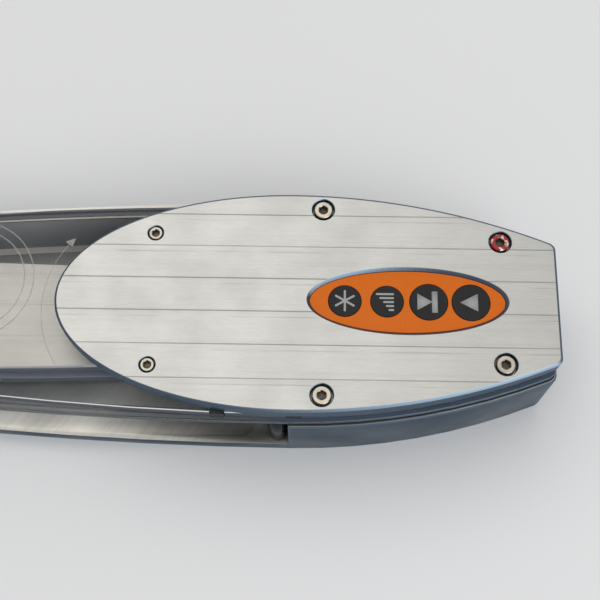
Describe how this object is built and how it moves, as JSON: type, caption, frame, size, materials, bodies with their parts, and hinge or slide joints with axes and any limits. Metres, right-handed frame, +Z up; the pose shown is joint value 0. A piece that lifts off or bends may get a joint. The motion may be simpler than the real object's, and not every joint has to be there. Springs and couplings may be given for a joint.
{
  "type": "hand controller",
  "caption": "Leaf-shaped star-tracking mount with a built-in round-key keypad under an aluminium cover, a clear deck, and a tapered arm that swings out of its open front.",
  "frame": {"origin": "centre of the bounding box, on the underside of the hull", "axes": "+Z up through the cover and the keypad; +X along the hull towards the keypad's nose; -Y is the open front that the arm swings out of"},
  "size_m": [0.38, 0.084, 0.0661],
  "materials": {
    "milled_aluminium": "fine milled grain, lightly satin",
    "blue_grey_anodised": "dark blue-grey anodised, satin",
    "clear_acrylic": "clear, polished, frosted engraving",
    "screw_steel": "plated steel, satin",
    "red_screw": "red, satin",
    "black_rubber": "smooth black rubber",
    "orange_film": "orange printed film, satin",
    "black_plastic": "black moulded plastic",
    "green_board": "solder-mask green circuit board",
    "bearing_bronze": "turned bronze",
    "brass": "turned brass",
    "grey_ribbon": "flat grey cable"
  },
  "bodies": {
    "housing": {"cover_plate": "milled_aluminium", "pivot_cap": "milled_aluminium", "hull_shell": "blue_grey_anodised", "deck_lower_sheet": "clear_acrylic", "deck_upper_sheet": "clear_acrylic", "cover_screw_front_left": "screw_steel", "cover_screw_front_right": "screw_steel", "cover_screw_rear_left": "screw_steel", "cover_screw_front_small": "screw_steel", "cover_screw_rear_small": "screw_steel", "deck_screw": "screw_steel", "cap_screw_front": "screw_steel", "cap_screw_rear": "screw_steel", "board_screw_front_left": "screw_steel", "board_screw_front_right": "screw_steel", "board_screw_rear_left": "screw_steel", "board_screw_rear_right": "screw_steel", "drive_drum": "screw_steel", "cover_screw_rear_right": "red_screw", "hull_gasket": "black_rubber", "window_post": "black_rubber", "edge_pad_left": "black_rubber", "edge_pad_right": "black_rubber", "keypad_overlay": "orange_film", "key_switch_settings": "black_plastic", "key_switch_menu": "black_plastic", "key_switch_forward": "black_plastic", "key_switch_back": "black_plastic", "sounder": "black_plastic", "power_socket": "black_plastic", "guide_socket": "black_plastic", "ribbon_header": "black_plastic", "keypad_board": "green_board", "control_board": "green_board", "lower_bush": "bearing_bronze", "upper_bush": "bearing_bronze", "tripod_insert": "brass", "keypad_ribbon": "grey_ribbon"},
    "arm": {"arm_body": "milled_aluminium", "arm_lid": "milled_aluminium", "lid_screw_front": "screw_steel", "lid_screw_rear": "screw_steel", "drive_motor": "screw_steel", "motor_gearbox": "brass", "pivot_shaft": "screw_steel", "head_platform": "blue_grey_anodised", "platform_pad": "black_rubber", "platform_stud": "screw_steel"},
    "roller": {"friction_roller": "black_rubber"},
    "key_settings": {"key_settings": "black_plastic"},
    "key_menu": {"key_menu": "black_plastic"},
    "key_forward": {"key_forward": "black_plastic"},
    "key_back": {"key_back": "black_plastic"}
  },
  "joints": [
    {"name": "arm_swing", "type": "hinge", "parent": "housing", "child": "arm", "pos_m": [-0.1726, 0, 0.018], "axis": [0, 0, -1], "range_deg": [0, 30]},
    {"name": "roller_spin", "type": "hinge", "parent": "arm", "child": "roller", "pos_m": [-0.1557, 0, 0.0106], "axis": [0, 0, -1], "range_deg": [0, 42]},
    {"name": "key_settings_press", "type": "slide", "parent": "housing", "child": "key_settings", "axis": [0, 0, -1], "range_m": [0, 0.0004], "stiffness_N_per_m": 900},
    {"name": "key_menu_press", "type": "slide", "parent": "housing", "child": "key_menu", "axis": [0, 0, -1], "range_m": [0, 0.0004], "stiffness_N_per_m": 900},
    {"name": "key_forward_press", "type": "slide", "parent": "housing", "child": "key_forward", "axis": [0, 0, -1], "range_m": [0, 0.0004], "stiffness_N_per_m": 900},
    {"name": "key_back_press", "type": "slide", "parent": "housing", "child": "key_back", "axis": [0, 0, -1], "range_m": [0, 0.0004], "stiffness_N_per_m": 900}
  ],
  "couplings": [
    {"joint": "roller_spin", "follows": "arm_swing", "ratio": 1.3714}
  ]
}
